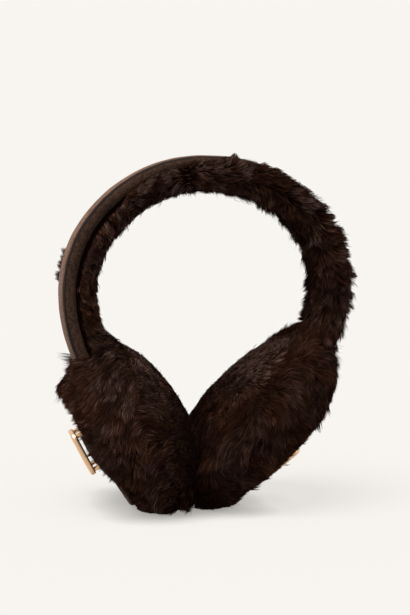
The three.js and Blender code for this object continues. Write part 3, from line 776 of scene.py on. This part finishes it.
bar_middle = np.array([FRAME["length"], FRAME["width"]]) - FRAME["bar"]  # size of its middle line
bar_half = np.array([FRAME["bar"], FRAME["thick"]]) / 2
eased = np.array([(1, 0.45), (0.93, 0.8), (0.75, 0.97), (0.4, 1), (-0.4, 1), (-0.75, 0.97),
                  (-0.93, 0.8), (-1, 0.45)])
bar_section = np.concatenate([eased, -eased]) * bar_half
path, outward = rounded_path(*bar_middle, FRAME["corner"] - FRAME["bar"] / 2)
bar_rings = np.concatenate([
    path[:, None] + bar_section[None, :, :1] * outward[:, None],
    np.repeat(bar_section[None, :, 1:] - bar_half[1], len(path), 0)], -1)


def on_dome(p, pad):
    """Points of the ornament's own frame, stood off the dome and square to it at its middle."""
    middle = -pad["side"] * pad["low"]
    slope = math.degrees(math.atan2(2 * BACK["dome"] * middle, BACK["radius"] ** 2))
    return turned(p, -slope) + [middle, 0, dome(middle) - FRAME["stand_off"] - pad["out"]]


def post_rings(x, y, pad):
    """A short round post from inside the bar down to the dome."""
    x, y, top = on_dome(np.array([x, y, -bar_half[1]]), pad)
    foot = dome(math.hypot(x, y)) - 0.1
    line = [(0.8, top), (FRAME["post"], top + 0.3), (FRAME["post"], foot - 0.5),
            (FRAME["post"] + 0.3, foot - 0.15), (FRAME["post"] + 0.3, foot)]
    about = np.linspace(0, 2 * math.pi, 20, endpoint=False)
    return np.stack([np.stack([x + r * np.cos(about), y + r * np.sin(about), z + 0 * about], -1)
                     for r, z in line])


post_x, post_y = bar_middle / 2 - FRAME["post_inset"]
for name, pad in PADS.items():
    parts = [(*loop(on_pad(on_dome(bar_rings, pad), pad)), np.zeros((0, 3), int))]
    for sx, sy in ((1, 1), (1, -1), (-1, 1), (-1, -1)):
        parts.append(tube(on_pad(post_rings(sx * post_x, sy * post_y, pad), pad)))
    starts = np.cumsum([0] + [len(part[0]) for part in parts[:-1]])
    ornament = finished(f"{name}_ornament", np.concatenate([part[0] for part in parts]),
                        [np.concatenate([part[n] + start for part, start in zip(parts, starts)])
                         for n in (1, 2)], gold_material)
    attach(ornament, "root")
    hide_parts(f"{name}_emblem")


# ---------- The band's padded cover ----------
# A sprung band sewn into a padded tube of brushed cotton. Its two rolled sides end in lips, with
# the outer strip seamed between them. Its ends are seated in the fur of the pads.

COVER_SECTION = np.array([  # dr, y
    (-8.0, -10.2), (-7.4, -12.1), (-5.4, -13), (-3.2, -12.9), (-1.8, -12.2), (-1.6, -11.5),
    (-3.1, -11.1), (-3.1, 11.1), (-1.6, 11.5), (-1.8, 12.2), (-3.2, 12.9), (-5.4, 13),
    (-7.4, 12.1), (-8.0, 10.2)])
COVER_DEPTH = 0.91  # the padding is squeezed to this share, so that the fur hides its lower edge
SEATED = 1.3  # how far the band's ends reach down among the pads' hairs


def inside_pads(p):
    """Whether points lie under the combed surface of either pad, as deep as the band is seated."""
    found = np.zeros(p.shape[:-1], bool)
    for pad in PADS.values():
        q = turned(p - SHIFT - np.array([pad["x"], 0, pad["z"]]), -pad["tilt"])
        x, y, z = np.moveaxis(q, -1, 0)
        down = -pad["side"] * x / PAD_RADIUS
        x = x / (1 + np.where(down > 0, pad["sag"] * down, -pad["rise"] * down))
        z = np.where(z > 0, z / pad["face"], z)
        limit = np.interp(z, shell_line[:, 1], shell_line[:, 0], left=0, right=0)
        found |= np.hypot(x, y) < (limit - SEATED) * (limit > 0)
    return found


def end_angles(section):
    """For each point [dr, y] of a section carried along the arch, the two angles at which it meets
    the pads."""
    grid = np.linspace(0, ARCH["end"], 480)
    ends = []
    for side in (-1, 1):
        p = on_arch(side * grid[:, None], section[None, :, 0], section[None, :, 1])
        hit = inside_pads(p)
        first = np.where(hit.any(0), hit.argmax(0), len(grid) - 1)
        ends.append(side * grid[first])
    return np.array(ends)


def carried(section, rows=200):
    """Rings of a section carried along the arch, from pad to pad."""
    low, high = end_angles(section)
    angle = low + (high - low) * np.linspace(0, 1, rows)[:, None]
    return on_arch(angle, section[None, :, 0], section[None, :, 1])


def off_rings(rings, middle):
    """Directions off the surface of rings, away from the middle: across the way along them and the
    way round them."""
    along = unit(np.gradient(rings, axis=0))
    around = unit(np.roll(rings, -1, 1) - np.roll(rings, 1, 1))
    off = np.cross(along, around)
    return off * np.sign((off * (rings - middle)).sum(-1).mean())


def puckered(rings, amount, size, seed):
    """Rings with small soft folds: points moved off the surface by a smooth random field."""
    off = off_rings(rings, rings.mean(1, keepdims=True))
    return rings + off * (amount * waves(rings, size, seed))[..., None]


rings = carried(corners_cut(COVER_SECTION * [COVER_DEPTH, 1], 2, closed=True))
rings = puckered(puckered(rings, 0.12, 16, 31), 0.04, 4.5, 32)
vertices, quads, ends = tube(rings)
_, dr, y = from_arch(vertices)
brown_cotton = brushed_cotton(
    "brown_brushed_cotton", (0.0098, 0.0043, 0.0025), (0.0392, 0.0195, 0.0119))
# The cover is painted near black along its seams with the strip, as painted shade in the grooves.
cover = finished("band_padded_cover", vertices, [quads, ends], brown_cotton,
                 seam=smoothstep(-np.abs(y), -12.9, -12.3) * smoothstep(dr, -2.6, -1.9))
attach(cover, "root")
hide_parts("band_cover")


# ---------- The outer strip ----------
# A strip of the same cotton, crowned over the padding and turned under along both seams. It is
# painted lighter than the cover for the light that falls on its top: painted light.

STRIP_SECTION = np.array([  # dr, y
    (-2.8, -10.8), (-1.4, -11.1), (-0.4, -7), (0, 0), (-0.4, 7), (-1.4, 11.1), (-2.8, 10.8)])
rings = carried(corners_cut(STRIP_SECTION, 2, closed=True))
vertices, quads, ends = tube(puckered(rings, 0.05, 9, 33))
# Painted light: the same cotton in lighter tones, standing for the light on the strip.
lit_strip_cotton = brushed_cotton("painted_lit_brushed_cotton", (0.034, 0.0167, 0.0105), (0.122, 0.0655, 0.0450))
# The strip's turned-under edges are painted near black, as painted shade in the seams.
strip = finished("band_top_strip", vertices, [quads, ends], lit_strip_cotton,
                 seam=smoothstep(np.abs(from_arch(vertices)[2]), 8.8, 10.4))
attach(strip, "root")
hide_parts("band_outer_strip")


# ---------- The fur under the band ----------
# Long-pile fur lines the band. On the left it is tucked under the cover's edge. Towards the right it
# spills over the front side and hides the cover.

# The section of the pile as dr and y, from its back edge round the inside to its front edge.
PILE_INSIDE = [(-7.2, 10), (-8.3, 12.6), (-11.2, 14.2), (-13.8, 12.8), (-15.2, 7.8), (-15.6, 0),
               (-15.2, -7.8)]
PILE_TUCKED = np.array(PILE_INSIDE + [
    (-13.8, -12.8), (-11.2, -14.2), (-9.5, -13.8), (-8.6, -13.2), (-8.2, -12.5), (-7.9, -11.8),
    (-7.5, -11.2), (-7.2, -10)])
PILE_SPILLED = np.array(PILE_INSIDE + [
    (-13.8, -13.6), (-9, -16), (-4.4, -15.8), (-1.9, -14.6), (-2.6, -13.5), (-5.2, -13.6),
    (-7.2, -12.6), (-7.2, -10)])
SPILL = (-180, -45, -20, 0, 20, 40, 180), (0, 0, 0.35, 0.7, 0.9, 1, 1)  # angle, share spilled
SWELL = (-95, -75, -50, -30, 0, 30, 60, 95), (2.4, 2.0, 2.6, 2.2, 1.0, 0.9, 0.3, 0)  # and fuller by
BAND_SKIN_DEPTH = 1.4
BAND_COAT = dict(count=50000, length=6.8, width=0.28, lift=0.66, droop=0.34,
                 clumps=3800, big_clumps=600)
BAND_MIDDLE = -11.5  # dr
BAND_SPARE_ROOTS = 1.25
BAND_LOCKS = dict(step=14, start=104, parting=-12, length=14, width=9.5, lift=1.4, sink=2.4,
                  droop=0.4, veer=0.5, hairs=85)
BAND_LOCK_ROWS = [(-11.7, -14.0, -0.6), (0.0, -15.4, 0.0), (11.7, -14.0, 0.6)]  # y, dr, back
FUR_TOP = (-20, 36, 54, 100), (-0.9, -0.9, 1.8, 2.2)  # angle, and how high the combed hairs reach
# The tufts' tone makes them paler than the rest of the fur: painted light on the thin hairs.
TUFTS = dict(width=6.5, lift=1.2, sink=2.6, droop=0.4, hairs=150, hair_width=0.2, tone=0.35)
TUFT_RUNS = [  # from, to, step, side, length, dr, y, least lean
    (-82, -71, 1.0, 1, 11.0, -9.6, 13.9, -0.45), (52, 104, 7, -1, 6.2, -8.4, -15.5, 0.35),
    (8, 20.5, 12, -1, 5.8, -5.2, -13.6, -0.2)]
# How the pile leans round the section at each of its rows: + is towards the front edge.
LEAN_ROWS = (0, 3, 5, 7, 8, 10, 14)
LEAN_TUCKED, LEAN_SPILLED = (0.8, 0.6, 0, -0.7, -0.9, -0.9, -0.9), (0.8, 0.6, 0, -0.3, 0.5, 0.9, 0.9)

tucked_line, spilled_line = corners_cut(PILE_TUCKED, 2), corners_cut(PILE_SPILLED, 2)
smooth_rows = np.linspace(0, len(PILE_TUCKED) - 1, len(tucked_line))


def at_rows(line, row):
    """Points [dr, y] of a smoothed section at its rows."""
    return np.stack([np.interp(row, smooth_rows, line[:, n]) for n in (0, 1)], -1)


def pile_skin(angle, row):
    """The combed surface of the band's fur at an angle and a row of its section: the two sections
    mixed by how far the fur spills over the cover there."""
    share = np.interp(angle, *SPILL)[..., None]
    section = at_rows(tucked_line, row) * (1 - share) + at_rows(spilled_line, row) * share
    dr, y = np.moveaxis(section, -1, 0)
    return on_arch(angle, dr - np.interp(angle, *SWELL) * smoothstep(-dr, 10, 14), y)


rows = np.linspace(0, len(PILE_TUCKED) - 1, 56)
first = end_angles(at_rows(tucked_line, rows))[0]
last = end_angles(at_rows(spilled_line, rows))[1]
grid_angle = first + (last - first) * np.linspace(0, 1, 120)[:, None]
skin = pile_skin(grid_angle, np.repeat(rows[None], len(grid_angle), 0))
off = unit(off_rings(skin, on_arch(grid_angle, BAND_MIDDLE, 0)))
skin = skin - off * BAND_SKIN_DEPTH * smoothstep(np.minimum(rows, rows[-1] - rows), 0, 3)[None, :, None]

# The hairs' roots are spread evenly by two irrational steps, one along the arch and one round the
# section's rows. Those that would lie inside the cover are left out.
STEP_ALONG, STEP_ROUND = 0.7548776662, 0.5698402910
FURRED_ROWS = 0.4, 12.8
COVERED_DR, COVERED_Y = -8.1, 12.2
rng = np.random.default_rng(41)
i = np.arange(int(BAND_COAT["count"] * BAND_SPARE_ROOTS))
row = FURRED_ROWS[0] + (FURRED_ROWS[1] - FURRED_ROWS[0]) * ((0.5 + i * STEP_ROUND) % 1)
low, high = np.interp(row, rows, first), np.interp(row, rows, last)
angle = low + (0.5 + i * STEP_ALONG) % 1 * (high - low)
points, along_angle, along_row, out = skin_frame(pile_skin, angle, row, 0.05)
out = out * np.sign((out * (points - on_arch(angle, BAND_MIDDLE, 0))).sum(-1))[:, None]
_, dr, y = from_arch(points)
hidden = (dr > COVERED_DR) & (np.abs(y) < COVERED_Y)
chosen = np.sort(rng.permutation(np.flatnonzero(~hidden))[:BAND_COAT["count"]])
points, along_angle, along_row, out, row, angle = (
    values[chosen] for values in (points, along_angle, along_row, out, row, angle))
n = len(chosen)
points = points + rng.normal(0, 0.3, points.shape)
spilled = np.interp(angle, *SPILL)
lean = (np.interp(row, LEAN_ROWS, LEAN_TUCKED) * (1 - spilled)
        + np.interp(row, LEAN_ROWS, LEAN_SPILLED) * spilled)
lean = lean + 0.55 * waves(points, 24, 44) + 0.4 * waves(points, 9, 45)
fall = np.sign(angle - BAND_LOCKS["parting"]) * (1 - 0.55 * np.abs(np.clip(lean, -1, 1)))
along = unit(along_row * lean[:, None] + along_angle * fall[:, None] + rng.normal(0, 0.16, (n, 3)))
length = BAND_COAT["length"] * rng.uniform(0.65, 1.2, n) * (0.75 + 0.25 * spilled)
lift = BAND_COAT["lift"] * rng.uniform(0.7, 1.3, n)
droop = BAND_COAT["droop"] * rng.uniform(0.8, 1.2, n)
stray = smoothstep(waves(points, 4.5, 46), 1.0, 1.7) * spilled
lines = comb(points - BAND_SKIN_DEPTH * out, along, out, length, lift, droop, stray)
lines, shade = clumped(lines, BAND_COAT, rng)
# Painted light: the fur is paler near the top of the arch, where the light falls from above.
tone = 0.5 * rng.uniform(0, 1, n) + 0.5 * shade + 0.14 * smoothstep(-np.abs(angle + 10), -50, -20)
width = BAND_COAT["width"] * rng.uniform(0.7, 1.3, n)


def band_locks():
    """Locks in staggered rows under the band, streaming down both sides of the arch from a parting."""
    start, step = BAND_LOCKS["start"], BAND_LOCKS["step"]
    locks = [(angle, *row) for n, row in enumerate(BAND_LOCK_ROWS)
             for angle in np.arange((n % 2) * step / 2 - start, start + 1e-6, step)]
    angle, y, dr, back = np.array(locks).T
    i, a = np.arange(len(angle)), np.radians(angle)
    sign = np.sign(angle - BAND_LOCKS["parting"])
    veer = back * 0.3 + (chance(i, 3) - 0.5) * BAND_LOCKS["veer"]
    along = unit(np.stack([np.cos(a) * sign, veer, -np.sin(a) * sign], -1))
    out = unit(np.stack([-np.sin(a), back, -np.cos(a)], -1))
    out = unit(out - (out * along).sum(-1, keepdims=True) * along)
    size = 0.8 + 0.4 * chance(i, 5)
    return leaves(BAND_LOCKS, on_arch(angle, dr, y), along, out, ARCH["lean"],
                  length=size, width=size, lift=size)


def tufts():
    """Tufts that stick out past the cover's edges, in runs along the arch."""
    runs = []
    for start, stop, step, side, length, dr, y, least in TUFT_RUNS:
        angle = np.arange(start, stop + 1e-6, step)
        i, a = np.arange(len(angle)), np.radians(angle)
        lean = (least + 0.6 * chance(i, 7)) * np.sign(angle)
        along = unit(np.stack([np.sin(a) + np.cos(a) * lean, 0 * a, np.cos(a) - np.sin(a) * lean], -1))
        out = np.repeat([[0.0, side, 0.0]], len(angle), 0)
        runs.append(leaves(dict(TUFTS, length=length), on_arch(angle, dr, y), along, out,
                           ARCH["lean"], length=0.85 + 0.25 * chance(i, 9)))
    return {key: np.concatenate([run[key] for run in runs]) for key in runs[0]}


locks = lock_hairs(band_locks(), BAND_LOCKS["hairs"], BAND_COAT["width"], rng)
lines, *others = joined((lines, out, width, tone), locks)
angle, dr, y = from_arch(lines)
lines = on_arch(angle, np.minimum(dr, np.interp(angle, *FUR_TOP)), y)
*tuft_hairs, tuft_tone = lock_hairs(tufts(), TUFTS["hairs"], TUFTS["hair_width"], rng)
# The tufts are made paler by their tone, as painted light.
lines, out, width, tone = joined((lines, *others), (*tuft_hairs, tuft_tone + TUFTS["tone"]))
band_fur = furred("band_fur_lining", lines, out, width, tone, rng, tube(skin))
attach(band_fur, "root")
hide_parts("band_fur")
